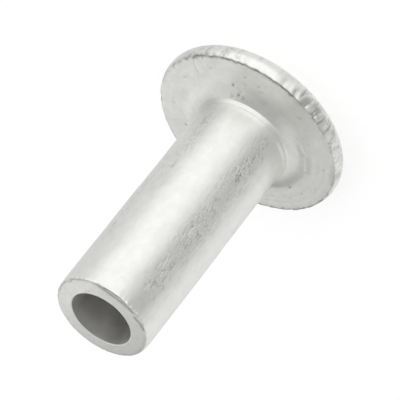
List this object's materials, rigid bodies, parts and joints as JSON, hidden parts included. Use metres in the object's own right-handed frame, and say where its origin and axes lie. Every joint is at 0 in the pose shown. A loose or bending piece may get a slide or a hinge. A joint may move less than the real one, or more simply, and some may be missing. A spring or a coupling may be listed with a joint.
{
  "type": "hollow rivet",
  "caption": "Cold-formed aluminium rivet with a flat round head, a short neck cone and a straight shank, bored blind from the tail so that its end can be rolled over to clamp sheets together.",
  "frame": {"origin": "centre of the head's top face, which the rivet stands on", "axes": "+Z along the rivet's axis, from the head to the tail; X and Y are any two square directions across it"},
  "size_m": [0.0122, 0.0122, 0.0175],
  "materials": {
    "aluminium": "bare satin aluminium, tumbled after cold forming, with fine drawing lines and small dents on the shank and coarse upset lines around the rim of the head"
  },
  "bodies": {
    "root": {"hollow_rivet": "aluminium"}
  },
  "joints": []
}
